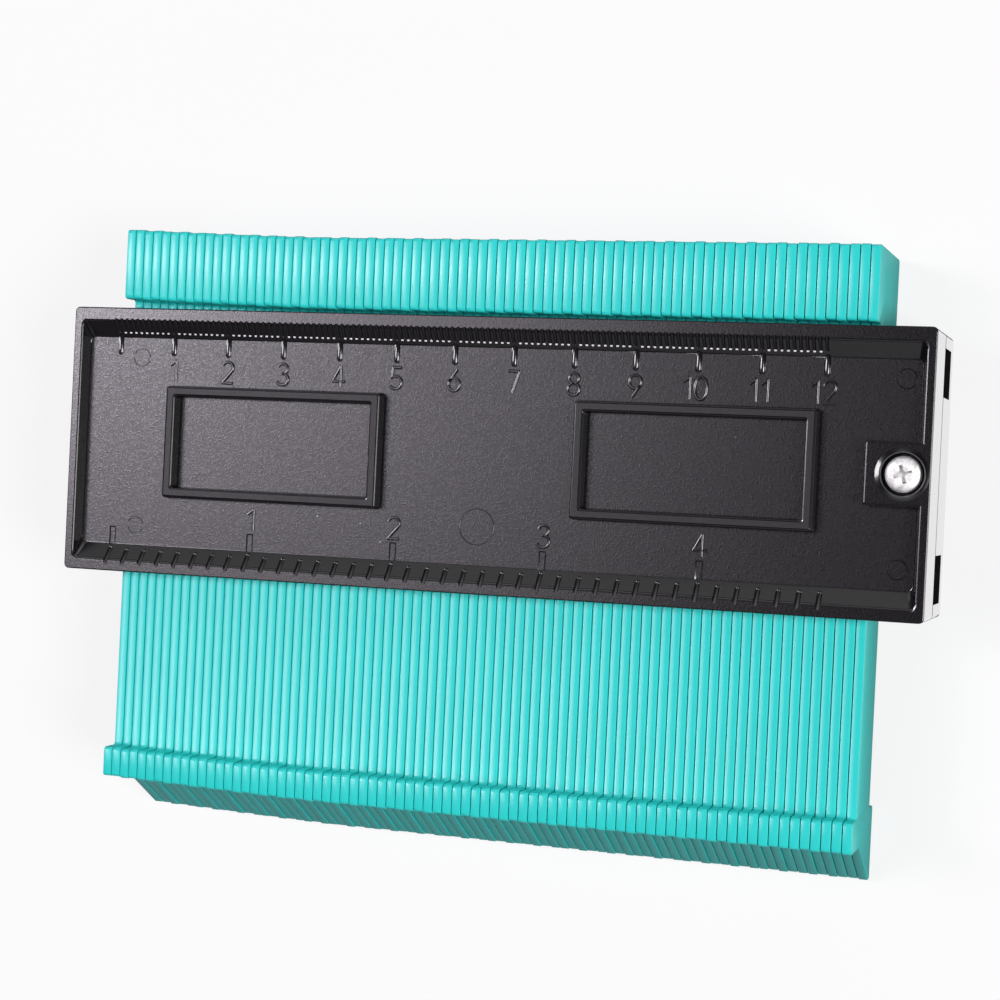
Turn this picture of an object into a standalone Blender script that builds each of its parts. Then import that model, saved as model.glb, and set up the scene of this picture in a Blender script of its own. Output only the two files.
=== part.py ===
"""Contour gauge: seventy-nine sliding leaves held between two graduated covers.

The gauge lies on its back. X runs along the scales, Y along the leaves towards
their square heads, and Z out of the front face. The origin is the middle of the
box round the whole tool, on the plane of the rear rim. Lengths are in metres.
"""
import math

import bmesh
import bpy
from mathutils import Matrix, Vector

MM = 0.001
INCH = 25.4 * MM

# Body, two equal covers meeting at mid depth, with a solid block at each end of the leaves
END_BLOCK = 8.725 * MM
BODY_HEIGHT = 44.4 * MM
BODY_DEPTH = 22.0 * MM
CORNER_RADIUS = 0.8 * MM
SEAM_GAP = 0.3 * MM

# Tray sunk in the face of each cover, and the floor between it and the leaves
TRAY_DEPTH = 2.2 * MM
FLOOR_THICKNESS = 1.4 * MM
RIM_SIDE = 1.5 * MM
RIM_TOP = 2.0 * MM
RIM_BOTTOM = 1.65 * MM
SLOPE_SIDE = 0.55 * MM
SLOPE_TOP = 2.8 * MM
SLOPE_BOTTOM = 2.9 * MM

# Two raised frames on the tray floor
FRAME_LENGTH = 38.6 * MM
FRAME_HEIGHT = 18.95 * MM
FRAME_INSET = 17.4 * MM
FRAME_RISE = 2.0 * MM
FRAME_WALL = 1.6 * MM
FRAME_DRAFT = 0.2 * MM

# Screw pad at one end, pillar for the other cover's screw at the other end
PAD_LENGTH = 9.35 * MM
PAD_HEIGHT = 9.8 * MM
SCREW_INSET = 4.3 * MM
HEAD_RADIUS = 2.8 * MM
HEAD_THICKNESS = 2.0 * MM
HEAD_EDGE = 0.9 * MM
HEAD_SINK = 0.5 * MM
SHANK_RADIUS = 1.5 * MM
SHANK_COVER = 4.6 * MM
SHANK_POINT = 1.2 * MM
CROSS_SPAN = 3.4 * MM
CROSS_WIDTH = 0.75 * MM
CROSS_DEPTH = 1.3 * MM
CROSS_DRAFT = 0.45 * MM
COUNTERBORE_CLEARANCE = 0.5 * MM
DISH_WIDTH = 0.6 * MM
SEAT_GAP = 0.3 * MM

# Windows in the end wall beside the seam
WINDOW_HEIGHT = 7.6 * MM
WINDOW_EDGE = 2.4 * MM
WINDOW_WALL = 0.6 * MM
WINDOW_DEPTH = 2.5 * MM

# Leaves, each a flat moulding with a square head and a wedge foot
LEAF_COUNT = 79
LEAF_PITCH = 1.6 * MM
LEAF_THICKNESS = 1.45 * MM
HEAD_SET_BACK = 0.3 * MM
HEAD_HEIGHT = 11.65 * MM
FOOT_HEIGHT = 4.9 * MM
FOOT_DROP = 30.6 * MM
STOP_GAP = 0.65 * MM
TIP_DROP = 6.9 * MM
TIP_FLAT = 1.5 * MM
TOE_LENGTH = 8.2 * MM
LEAF_ROUNDING = 0.6 * MM
PARTING_GROOVE = 0.25 * MM

# The leaves at the left end were left pushed up a little
LIFT = 0.9 * MM
LIFT_LEAVES = 22
LIFT_RIPPLE = 0.08 * MM

# Channel for the leaves, and the rubber strips that make them stay put
CHANNEL_CLEARANCE = 0.4 * MM
END_CLEARANCE = 0.35 * MM
STRIP_HEIGHT = 8.0 * MM
STRIP_THICKNESS = 0.8 * MM
STRIP_GAP = 0.25 * MM
STRIP_FIT = 0.15 * MM

# Scales, both starting at the same line
SCALE_INSET = 7.8 * MM
SCALE_MARGIN = 14.0 * MM
MARK_DEPTH = 0.35 * MM
CENTIMETRE_MARK = 3.15 * MM
CENTIMETRE_WIDTH = 0.7 * MM
INCH_MARK = 2.95 * MM
INCH_WIDTH = 0.75 * MM
EIGHTH_FOOT = 0.3 * MM
MILLIMETRE_WIDTH = 0.62 * MM
MILLIMETRE_FOOT = 0.85 * MM

# Derived sizes
PACK_LENGTH = LEAF_PITCH * (LEAF_COUNT - 1) + LEAF_THICKNESS
BODY_LENGTH = PACK_LENGTH + 2 * (END_CLEARANCE + END_BLOCK)
WEB_DEPTH = BODY_DEPTH - 2 * (TRAY_DEPTH + FLOOR_THICKNESS + CHANNEL_CLEARANCE)
HEAD_DEPTH = BODY_DEPTH - 2 * HEAD_SET_BACK
SHANK_LENGTH = BODY_DEPTH - HEAD_SINK - HEAD_THICKNESS - SHANK_COVER
WINDOW_REACH = BODY_DEPTH / 2 - TRAY_DEPTH - WINDOW_WALL
SCALE_LENGTH = BODY_LENGTH - SCALE_INSET - SCALE_MARGIN
CENTIMETRES = int(SCALE_LENGTH / (10 * MM))
EIGHTHS = int(SCALE_LENGTH / (INCH / 8))

# Derived places, with Y counted from the bottom edge of the body
SCREW_X = BODY_LENGTH / 2 - SCREW_INSET
SCALE_ZERO_X = SCALE_INSET - BODY_LENGTH / 2
FRAME_X = BODY_LENGTH / 2 - FRAME_INSET - FRAME_LENGTH / 2
BORE_RADIUS = SHANK_RADIUS + SEAT_GAP
COUNTERBORE_RADIUS = HEAD_RADIUS + COUNTERBORE_CLEARANCE
HEAD_UNDERSIDE = BODY_HEIGHT + STOP_GAP
HEAD_TOP = HEAD_UNDERSIDE + HEAD_HEIGHT
TIP_END = -FOOT_DROP - FOOT_HEIGHT - TIP_DROP
MID_PLANE = BODY_DEPTH / 2
FLOOR_Z = BODY_DEPTH - TRAY_DEPTH
FLOOR_TOP = BODY_HEIGHT - RIM_TOP - SLOPE_TOP
FLOOR_BOTTOM = RIM_BOTTOM + SLOPE_BOTTOM


def leaf_lift(index):
    """How far a leaf stands above its rest place; index counts from the left."""
    fade = max(0.0, 1 - index / LIFT_LEAVES)
    return LIFT * fade ** 1.3 + LIFT_RIPPLE * math.sin(2.4 * index)


LIFTS = [leaf_lift(index) for index in range(LEAF_COUNT)]
BODY_BOTTOM = -(HEAD_TOP + max(LIFTS) + TIP_END + min(LIFTS)) / 2


def clear_scene():
    for item in list(bpy.data.objects):
        bpy.data.objects.remove(item, do_unlink=True)


def new_collection(name):
    collection = bpy.data.collections.new(name)
    bpy.context.scene.collection.children.link(collection)
    return collection


def material(name, colour, roughness, metallic=0.0):
    made = bpy.data.materials.new(name)
    made.use_nodes = True
    shader = made.node_tree.nodes["Principled BSDF"]
    shader.inputs["Base Color"].default_value = (*colour, 1.0)
    shader.inputs["Roughness"].default_value = roughness
    shader.inputs["Metallic"].default_value = metallic
    return made


def add_object(name, mesh, collection, surface=None, location=(0, 0, 0)):
    item = bpy.data.objects.new(name, mesh)
    item.location = location
    if surface is not None and not mesh.materials:
        mesh.materials.append(surface)
    collection.objects.link(item)
    return item


def mesh_from(bm, name):
    bmesh.ops.recalc_face_normals(bm, faces=bm.faces)
    mesh = bpy.data.meshes.new(name)
    bm.to_mesh(mesh)
    bm.free()
    return mesh


def add_box(bm, low, high):
    """A box between two corners, added to bm."""
    size = [b - a for a, b in zip(low, high)]
    centre = [(a + b) / 2 for a, b in zip(low, high)]
    place = Matrix.Translation(centre) @ Matrix.Diagonal((*size, 1.0))
    return bmesh.ops.create_cube(bm, size=1.0, matrix=place)["verts"]


def add_tapered_box(bm, low, high, taper):
    """A box whose lower face is drawn in by taper = (left, right, bottom, top)."""
    left, right, bottom, top = taper
    middle = (low[2] + high[2]) / 2
    for vert in add_box(bm, low, high):
        if vert.co.z < middle:
            vert.co.x += left if vert.co.x < (low[0] + high[0]) / 2 else -right
            vert.co.y += bottom if vert.co.y < (low[1] + high[1]) / 2 else -top


def add_cylinder(bm, x, y, z_low, z_high, radius_low, radius_high, segments=24):
    place = Matrix.Translation((x, y, (z_low + z_high) / 2))
    bmesh.ops.create_cone(bm, cap_ends=True, segments=segments, radius1=radius_low,
                          radius2=radius_high, depth=z_high - z_low, matrix=place)


def evaluated_mesh(item, name):
    graph = bpy.context.evaluated_depsgraph_get()
    graph.update()
    return bpy.data.meshes.new_from_object(item.evaluated_get(graph), depsgraph=graph)


def add_cutter(name, bm, collection):
    cutter = add_object(name, mesh_from(bm, name), collection)
    cutter.hide_render = True
    cutter.display_type = "WIRE"
    return cutter


def boolean(target, cutter, operation="DIFFERENCE"):
    modifier = target.modifiers.new(cutter.name, "BOOLEAN")
    modifier.operation = operation
    modifier.solver = "EXACT"
    modifier.object = cutter


# Cover: shaped as the front one, then turned half round Y for the rear one

def cover_blank():
    """Half of the body with its four upright edges rounded."""
    bm = bmesh.new()
    add_box(bm, (-BODY_LENGTH / 2, BODY_BOTTOM, MID_PLANE + SEAM_GAP / 2),
            (BODY_LENGTH / 2, BODY_BOTTOM + BODY_HEIGHT, BODY_DEPTH))
    upright = [edge for edge in bm.edges
               if abs(edge.verts[0].co.z - edge.verts[1].co.z) > BODY_DEPTH / 4]
    bmesh.ops.bevel(bm, geom=upright, offset=CORNER_RADIUS, segments=2,
                    profile=0.5, affect="EDGES")
    return mesh_from(bm, "cover_blank")


def frame_cutter(cutters):
    """The two raised frames, as rings that the tray cutter leaves standing."""
    low_y = BODY_BOTTOM + (BODY_HEIGHT - FRAME_HEIGHT) / 2
    high_y = low_y + FRAME_HEIGHT
    outer = bmesh.new()
    inner = bmesh.new()
    for side in (-1, 1):
        low_x = side * FRAME_X - FRAME_LENGTH / 2
        high_x = low_x + FRAME_LENGTH
        add_tapered_box(outer, (low_x + FRAME_DRAFT, low_y + FRAME_DRAFT, FLOOR_Z - FRAME_RISE),
                        (high_x - FRAME_DRAFT, high_y - FRAME_DRAFT, FLOOR_Z + FRAME_RISE),
                        [-2 * FRAME_DRAFT] * 4)
        add_tapered_box(inner, (low_x + FRAME_WALL, low_y + FRAME_WALL, FLOOR_Z - 2 * FRAME_RISE),
                        (high_x - FRAME_WALL, high_y - FRAME_WALL, FLOOR_Z + 2 * FRAME_RISE),
                        [4 * FRAME_DRAFT] * 4)
    ring = add_cutter("frame_rings", outer, cutters)
    boolean(ring, add_cutter("frame_insides", inner, cutters))
    return ring


def tray_cutter(cutters):
    """What is taken out of the face: a tray with sloped walls, less frames and pad."""
    bm = bmesh.new()
    over = TRAY_DEPTH
    grow = 1 + over / TRAY_DEPTH
    side = RIM_SIDE + SLOPE_SIDE
    add_tapered_box(
        bm,
        (-BODY_LENGTH / 2 + side - grow * SLOPE_SIDE, BODY_BOTTOM + FLOOR_BOTTOM - grow * SLOPE_BOTTOM, FLOOR_Z),
        (BODY_LENGTH / 2 - side + grow * SLOPE_SIDE, BODY_BOTTOM + FLOOR_TOP + grow * SLOPE_TOP,
         BODY_DEPTH + over),
        (grow * SLOPE_SIDE, grow * SLOPE_SIDE, grow * SLOPE_BOTTOM, grow * SLOPE_TOP))
    tray = add_cutter("tray", bm, cutters)
    boolean(tray, frame_cutter(cutters))
    pad = bmesh.new()
    pad_low = BODY_BOTTOM + (BODY_HEIGHT - PAD_HEIGHT) / 2
    add_box(pad, (BODY_LENGTH / 2 - PAD_LENGTH, pad_low, FLOOR_Z - TRAY_DEPTH),
            (BODY_LENGTH / 2 + PAD_LENGTH, pad_low + PAD_HEIGHT, BODY_DEPTH + 2 * over))
    boolean(tray, add_cutter("screw_pad", pad, cutters))
    return tray


def channel_cutter(cutters):
    """The channel that the leaves run in, with the groove for a rubber strip."""
    bm = bmesh.new()
    half_length = PACK_LENGTH / 2 + END_CLEARANCE
    roof = MID_PLANE + WEB_DEPTH / 2 + CHANNEL_CLEARANCE
    over = BODY_HEIGHT / 4
    add_box(bm, (-half_length, BODY_BOTTOM - over, 0), (half_length, BODY_BOTTOM + BODY_HEIGHT + over, roof))
    channel = add_cutter("leaf_channel", bm, cutters)
    groove = bmesh.new()
    depth = STRIP_GAP + STRIP_THICKNESS + STRIP_FIT
    middle = BODY_BOTTOM + BODY_HEIGHT / 2
    half_height = STRIP_HEIGHT / 2 + STRIP_FIT
    add_box(groove, (-half_length + END_CLEARANCE, middle - half_height, MID_PLANE),
            (half_length - END_CLEARANCE, middle + half_height, MID_PLANE + WEB_DEPTH / 2 + depth))
    boolean(channel, add_cutter("strip_groove", groove, cutters), "UNION")
    return channel


def screw_cutter(cutters):
    """Counterbored hole for this cover's screw, blind hole for the other one."""
    middle = BODY_BOTTOM + BODY_HEIGHT / 2
    seat = BODY_DEPTH - HEAD_SINK - HEAD_THICKNESS - SEAT_GAP
    hole = bmesh.new()
    add_cylinder(hole, SCREW_X, middle, 0, BODY_DEPTH, BORE_RADIUS, BORE_RADIUS)
    blind_top = BODY_DEPTH - SHANK_COVER + 2 * SEAT_GAP
    add_cylinder(hole, -SCREW_X, middle, 0, blind_top, BORE_RADIUS, BORE_RADIUS)
    cutter = add_cutter("screw_holes", hole, cutters)
    bore = bmesh.new()
    over = HEAD_THICKNESS
    add_cylinder(bore, SCREW_X, middle, seat, BODY_DEPTH + over, COUNTERBORE_RADIUS, COUNTERBORE_RADIUS)
    dish = bmesh.new()
    add_cylinder(dish, SCREW_X, middle, BODY_DEPTH - DISH_WIDTH, BODY_DEPTH + DISH_WIDTH,
                 COUNTERBORE_RADIUS, COUNTERBORE_RADIUS + 2 * DISH_WIDTH)
    counterbore = add_cutter("counterbore", bore, cutters)
    boolean(counterbore, add_cutter("counterbore_dish", dish, cutters), "UNION")
    return cutter, counterbore


def window_cutter(cutters):
    """Two windows in the end wall next to the seam, at the pillar end."""
    bm = bmesh.new()
    for low_y in (WINDOW_EDGE, BODY_HEIGHT - WINDOW_EDGE - WINDOW_HEIGHT):
        add_box(bm, (-BODY_LENGTH / 2 - WINDOW_DEPTH, BODY_BOTTOM + low_y, 0),
                (-BODY_LENGTH / 2 + WINDOW_DEPTH, BODY_BOTTOM + low_y + WINDOW_HEIGHT,
                 MID_PLANE + WINDOW_REACH))
    return add_cutter("end_windows", bm, cutters)


def add_wall_groove(bm, x, side, foot, width, depth, turn=0.0):
    """A groove up a sloped wall; side is 1 for the top wall and -1 for the bottom one.

    It starts foot from the floor, counted along Y, and runs out over the rim.
    """
    slope = SLOPE_TOP if side > 0 else SLOPE_BOTTOM
    floor_edge = BODY_BOTTOM + (FLOOR_TOP if side > 0 else FLOOR_BOTTOM)
    angle = math.atan2(TRAY_DEPTH, slope)
    start = foot / math.cos(angle)
    end = slope / math.cos(angle) + 2 * depth
    along = (start + end) / 2
    middle = (x, floor_edge + side * along * math.cos(angle), FLOOR_Z + along * math.sin(angle))
    bmesh.ops.create_cube(bm, size=1.0, matrix=(
        Matrix.Translation(middle) @ Matrix.Rotation(side * angle, 4, "X")
        @ Matrix.Rotation(turn, 4, "Y") @ Matrix.Diagonal((width, end - start, 2 * depth, 1.0))))


def floor_mark_cutter(cutters):
    """Centimetre marks under the top wall and inch marks over the bottom wall."""
    bm = bmesh.new()
    for centimetre in range(CENTIMETRES + 1):
        x = SCALE_ZERO_X + centimetre * 10 * MM
        add_box(bm, (x - CENTIMETRE_WIDTH / 2, BODY_BOTTOM + FLOOR_TOP - CENTIMETRE_MARK, FLOOR_Z - MARK_DEPTH),
                (x + CENTIMETRE_WIDTH / 2, BODY_BOTTOM + FLOOR_TOP + MARK_DEPTH, FLOOR_Z + MARK_DEPTH))
    for inch in range(EIGHTHS // 8 + 1):
        x = SCALE_ZERO_X + inch * INCH
        add_box(bm, (x - INCH_WIDTH / 2, BODY_BOTTOM + FLOOR_BOTTOM - MARK_DEPTH, FLOOR_Z - MARK_DEPTH),
                (x + INCH_WIDTH / 2, BODY_BOTTOM + FLOOR_BOTTOM + INCH_MARK, FLOOR_Z + MARK_DEPTH))
    return add_cutter("floor_marks", bm, cutters)


def wall_groove_cutter(cutters):
    """V grooves a millimetre apart up the top wall, square ones an eighth of an inch
    apart up the bottom wall. They notch the inner edge of the rim."""
    bm = bmesh.new()
    leg = MILLIMETRE_WIDTH / math.sqrt(2)
    for millimetre in range(10 * CENTIMETRES + 1):
        add_wall_groove(bm, SCALE_ZERO_X + millimetre * MM, 1, MILLIMETRE_FOOT, leg, leg / 2, math.pi / 4)
    for eighth in range(EIGHTHS + 1):
        add_wall_groove(bm, SCALE_ZERO_X + eighth * INCH / 8, -1, EIGHTH_FOOT, INCH_WIDTH, MARK_DEPTH)
    return add_cutter("wall_grooves", bm, cutters)


def cover_mesh(cutters):
    blank = add_object("cover_shape", cover_blank(), cutters)
    blank.hide_render = True
    blank.display_type = "WIRE"
    boolean(blank, tray_cutter(cutters))
    boolean(blank, channel_cutter(cutters))
    for cutter in screw_cutter(cutters):
        boolean(blank, cutter)
    boolean(blank, window_cutter(cutters))
    boolean(blank, floor_mark_cutter(cutters))
    boolean(blank, wall_groove_cutter(cutters))
    return evaluated_mesh(blank, "cover")


def turned_over(item):
    """Turns a piece of the front half round to its place in the rear half."""
    item.matrix_world = (Matrix.Translation((0, 0, MID_PLANE)) @ Matrix.Rotation(math.pi, 4, "Y")
                         @ Matrix.Translation((0, 0, -MID_PLANE)) @ item.matrix_world)


# Screw: a pan head with a cross recess, and a plain shank for its thread

def screw_mesh(cutters):
    """The screw with its origin on its axis at the underside of the head."""
    profile = bpy.data.meshes.new("screw_profile")
    points = [(0, HEAD_THICKNESS)]
    for degrees in (60, 30, 0):
        turn = math.radians(degrees)
        points.append((HEAD_RADIUS * math.cos(turn),
                       HEAD_EDGE + (HEAD_THICKNESS - HEAD_EDGE) * math.sin(turn)))
    points += [(HEAD_RADIUS, 0), (SHANK_RADIUS, 0), (SHANK_RADIUS, SHANK_POINT - SHANK_LENGTH),
               (SHANK_RADIUS / 2, -SHANK_LENGTH), (0, -SHANK_LENGTH)]
    profile.from_pydata([(x, 0, z) for x, z in points], [(i, i + 1) for i in range(len(points) - 1)], [])
    body = add_object("screw_shape", profile, cutters)
    body.hide_render = True
    body.display_type = "WIRE"
    turned = body.modifiers.new("turned", "SCREW")
    turned.steps = 16
    turned.render_steps = 16
    turned.use_merge_vertices = True
    turned.merge_threshold = 0.00001
    cross = bmesh.new()
    low = HEAD_THICKNESS - CROSS_DEPTH
    high = HEAD_THICKNESS + CROSS_DEPTH
    add_tapered_box(cross, (-CROSS_SPAN / 2, -CROSS_WIDTH / 2, low), (CROSS_SPAN / 2, CROSS_WIDTH / 2, high),
                    (CROSS_DRAFT, CROSS_DRAFT, 0, 0))
    second = bmesh.new()
    add_tapered_box(second, (-CROSS_WIDTH / 2, -CROSS_SPAN / 2, low), (CROSS_WIDTH / 2, CROSS_SPAN / 2, high),
                    (0, 0, CROSS_DRAFT, CROSS_DRAFT))
    boolean(body, add_cutter("cross_slot_a", cross, cutters))
    boolean(body, add_cutter("cross_slot_b", second, cutters))
    return evaluated_mesh(body, "screw")


# Leaf: one outline in Y and Z, lofted across the thickness

def corner_points(before, corner, after, size):
    """Two points that cut a corner off at the given distance."""
    corner = Vector(corner)
    return [corner + (Vector(end) - corner).normalized() * size for end in (before, after)]


def leaf_outline(inset=0.0):
    """Outline of a leaf as (y, z), y from the bottom edge of the body, z from mid depth."""
    face = HEAD_DEPTH / 2 - inset
    web = WEB_DEPTH / 2 - inset
    head_top = HEAD_TOP - inset
    head_low = HEAD_UNDERSIDE + inset
    foot_top = -FOOT_DROP - inset
    foot_low = -FOOT_DROP - FOOT_HEIGHT + inset
    tip = TIP_END + inset
    corners = [((head_top, face), LEAF_ROUNDING), ((head_low, face), LEAF_ROUNDING),
               ((head_low, web), 0), ((foot_top, web), 0),
               ((foot_top, face), LEAF_ROUNDING), ((foot_low, face), LEAF_ROUNDING),
               ((foot_low, face - TOE_LENGTH + inset), 0), ((tip, TIP_FLAT - face - inset), 0),
               ((tip, -face), 0), ((foot_top, -face), LEAF_ROUNDING),
               ((foot_top, -web), 0), ((head_low, -web), 0),
               ((head_low, -face), LEAF_ROUNDING), ((head_top, -face), LEAF_ROUNDING)]
    points = []
    for index, (corner, size) in enumerate(corners):
        before = corners[index - 1][0]
        after = corners[(index + 1) % len(corners)][0]
        points += corner_points(before, corner, after, size) if size else [Vector(corner)]
    return points


def leaf_x(index):
    return (index - (LEAF_COUNT - 1) / 2) * LEAF_PITCH


def leaf_sections(indices, middle):
    """Stations across a group as (x, lift, inset), with a V groove between two leaves."""
    stations = []
    for index in indices:
        x = leaf_x(index) - middle
        stations.append((x - LEAF_THICKNESS / 2, LIFTS[index], 0.0))
        stations.append((x + LEAF_THICKNESS / 2, LIFTS[index], 0.0))
    if len(indices) > 1:
        lift = sum(LIFTS[index] for index in indices) / len(indices)
        stations.insert(2, (0.0, lift, PARTING_GROOVE))
    return stations


def leaf_group(indices, surface, parts):
    """Neighbouring leaves that slide as one, lofted as one solid, parted by a V groove."""
    middle = sum(leaf_x(index) for index in indices) / len(indices)
    bm = bmesh.new()
    rings = []
    for x, lift, inset in leaf_sections(indices, middle):
        rings.append([bm.verts.new((x, y + lift, z)) for y, z in leaf_outline(inset)])
    for ring, following in zip(rings, rings[1:]):
        for i in range(len(ring)):
            j = (i + 1) % len(ring)
            bm.faces.new((ring[i], ring[j], following[j], following[i]))
    bm.faces.new(rings[0])
    bm.faces.new(rings[-1])
    name = "_".join(["leaves" if len(indices) > 1 else "leaf"] + [f"{index + 1:02d}" for index in indices])
    add_object(name, mesh_from(bm, name), parts, surface, (middle, BODY_BOTTOM, MID_PLANE))


def strip_mesh():
    """Rubber strip of the front cover, proud of the channel roof by its working gap."""
    bm = bmesh.new()
    low_z = MID_PLANE + WEB_DEPTH / 2 + STRIP_GAP
    middle = BODY_BOTTOM + BODY_HEIGHT / 2
    half_length = PACK_LENGTH / 2 - STRIP_FIT
    add_box(bm, (-half_length, middle - STRIP_HEIGHT / 2, low_z),
            (half_length, middle + STRIP_HEIGHT / 2, low_z + STRIP_THICKNESS))
    return mesh_from(bm, "friction_strip")


def build():
    clear_scene()
    parts = new_collection("contour_gauge")
    cutters = new_collection("cutters")
    black = material("black_plastic", (0.02, 0.02, 0.023), 0.5)
    teal = material("teal_plastic", (0.07, 0.62, 0.56), 0.4)
    zinc = material("zinc_plated_steel", (0.78, 0.78, 0.76), 0.35, 1.0)
    rubber = material("grey_rubber", (0.06, 0.06, 0.065), 0.85)

    cover = cover_mesh(cutters)
    add_object("front_cover", cover, parts, black)
    turned_over(add_object("rear_cover", cover, parts, black))

    screw = screw_mesh(cutters)
    screw_place = (SCREW_X, BODY_BOTTOM + BODY_HEIGHT / 2, BODY_DEPTH - HEAD_SINK - HEAD_THICKNESS)
    for name in ("front_screw", "rear_screw"):
        item = add_object(name, screw, parts, zinc, screw_place)
        item.data.shade_smooth()
        item.data.set_sharp_from_angle(angle=math.radians(40))
        if name == "rear_screw":
            bpy.context.view_layer.update()
            turned_over(item)

    strip = strip_mesh()
    add_object("front_friction_strip", strip, parts, rubber)
    turned_over(add_object("rear_friction_strip", strip, parts, rubber))

    for first in range(0, LEAF_COUNT, 2):
        leaf_group(range(first, min(first + 2, LEAF_COUNT)), teal, parts)


build()
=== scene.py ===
"""Contour gauge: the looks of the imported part.

The gauge lies on its back, so its front face is seen from above. X runs along the
scales, Y along the leaves towards their square heads, and Z out of the front face.
Everything is in metres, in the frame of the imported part.
"""
import math

import bmesh
import bpy
from mathutils import Matrix, Vector


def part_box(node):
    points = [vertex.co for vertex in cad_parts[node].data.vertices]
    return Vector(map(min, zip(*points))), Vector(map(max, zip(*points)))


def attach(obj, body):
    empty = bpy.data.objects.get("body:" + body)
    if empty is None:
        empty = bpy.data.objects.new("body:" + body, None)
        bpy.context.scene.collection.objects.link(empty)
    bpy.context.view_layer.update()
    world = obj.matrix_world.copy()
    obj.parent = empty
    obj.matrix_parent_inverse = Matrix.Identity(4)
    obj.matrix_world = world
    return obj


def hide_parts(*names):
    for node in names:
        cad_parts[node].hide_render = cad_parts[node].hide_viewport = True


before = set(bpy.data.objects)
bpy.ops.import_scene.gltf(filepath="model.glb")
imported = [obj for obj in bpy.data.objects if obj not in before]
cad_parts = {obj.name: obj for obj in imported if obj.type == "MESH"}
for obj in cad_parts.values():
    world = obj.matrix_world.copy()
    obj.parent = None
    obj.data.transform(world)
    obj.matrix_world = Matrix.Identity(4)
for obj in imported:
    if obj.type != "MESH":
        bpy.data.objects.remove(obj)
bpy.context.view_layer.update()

MM = 0.001
INCH = 25.4 * MM

# Body, as in the solids
BODY_LENGTH = 144.4 * MM
BODY_HEIGHT = 44.4 * MM
BODY_DEPTH = 22.0 * MM
BODY_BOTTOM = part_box("front_cover")[0][1]
MID_PLANE = BODY_DEPTH / 2
CORNER_RADIUS = 0.8 * MM
SEAM_GAP = 0.3 * MM
RIM_ROUNDING = 0.2 * MM

# Tray in the face of each cover
TRAY_DEPTH = 2.2 * MM
RIM_SIDE = 1.5 * MM
RIM_TOP = 2.0 * MM
RIM_BOTTOM = 1.65 * MM
SLOPE_SIDE = 0.55 * MM
SLOPE_TOP = 2.8 * MM
SLOPE_BOTTOM = 2.9 * MM
TRAY_CORNER = 0.75 * MM
TRAY_FILLET = 0.12 * MM
SIDE_ROUNDING = 0.35 * MM
FLOOR_Z = BODY_DEPTH - TRAY_DEPTH
FLOOR_TOP = BODY_BOTTOM + BODY_HEIGHT - RIM_TOP - SLOPE_TOP
FLOOR_BOTTOM = BODY_BOTTOM + RIM_BOTTOM + SLOPE_BOTTOM

# Raised frames
FRAME_LENGTH = 38.6 * MM
FRAME_HEIGHT = 18.95 * MM
FRAME_X = 35.5 * MM
FRAME_RISE = 2.0 * MM
FRAME_WALL = 1.6 * MM
FRAME_DRAFT = 0.2 * MM
FRAME_ROUNDING = 0.35 * MM
FRAME_CORNER = 0.4 * MM

# Screw, its pad and its counterbore
PAD_LENGTH = 10.05 * MM  # the solids have 9.35 mm
PAD_HEIGHT = 9.8 * MM
SCREW_X = BODY_LENGTH / 2 - 4.3 * MM
HEAD_RADIUS = 2.8 * MM
HEAD_THICKNESS = 2.0 * MM
HEAD_EDGE = 0.9 * MM
HEAD_SQUARENESS = 0.7
HEAD_SINK = 0.5 * MM
SHANK_RADIUS = 1.5 * MM
SHANK_LENGTH = 14.9 * MM
SHANK_POINT = 1.2 * MM
CROSS_SPAN = 3.4 * MM
CROSS_WIDTH = 0.75 * MM
CROSS_DEPTH = 1.3 * MM
CROSS_DRAFT = 0.45 * MM
SCREW_TURN = 0.25
BORE_RADIUS = 1.8 * MM
COUNTERBORE_RADIUS = 3.3 * MM
COUNTERBORE_SEAT = BODY_DEPTH - HEAD_SINK - HEAD_THICKNESS - 0.3 * MM
DISH_WIDTH = 0.8 * MM
DISH_DEPTH = 0.42 * MM
BLIND_HOLE_TOP = 18.0 * MM

# Leaf channel, strip groove and end windows
CHANNEL_HALF_LENGTH = 63.475 * MM
CHANNEL_ROOF = 18.4 * MM
GROOVE_HALF_LENGTH = 63.125 * MM
GROOVE_HALF_HEIGHT = 4.15 * MM
GROOVE_ROOF = 19.2 * MM
WINDOW_HEIGHT = 7.6 * MM
WINDOW_EDGE = 2.4 * MM
WINDOW_REACH = 8.2 * MM
WINDOW_DEPTH = 2.5 * MM

# Scales
SCALE_ZERO_X = 7.8 * MM - BODY_LENGTH / 2
CENTIMETRES = 12
EIGHTHS = 38
MILLIMETRE_RADIUS = 0.47 * MM
MILLIMETRE_RISE = 0.32 * MM
MILLIMETRE_FOOT = 0.83 * MM
CENTIMETRE_MARK = 3.15 * MM
CENTIMETRE_RADIUS = 0.6 * MM
CENTIMETRE_RISE = 0.28 * MM
EIGHTH_RADIUS = 0.47 * MM
EIGHTH_RISE = 0.12 * MM
EIGHTH_FOOT = 0.98 * MM
INCH_MARK = 2.95 * MM
OFF_GRID = 0.013 * MM  # keeps the edges of neighbouring cutters from lying in one plane
INCH_MARK_WIDTH = 1.2 * MM
INCH_MARK_DEPTH = 0.1 * MM
INCH_MARK_FLANK = 0.22 * MM
NUMERAL_HEIGHT = 4.05 * MM
NUMERAL_WIDTH = 1.95 * MM
NUMERAL_GAP = 0.3 * MM
NUMERAL_RISE = 0.26 * MM
NUMERAL_STROKE = 0.27 * MM
NUMERAL_SPACE = 0.2 * MM
PAIR_SHIFT = -0.4 * MM

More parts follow.
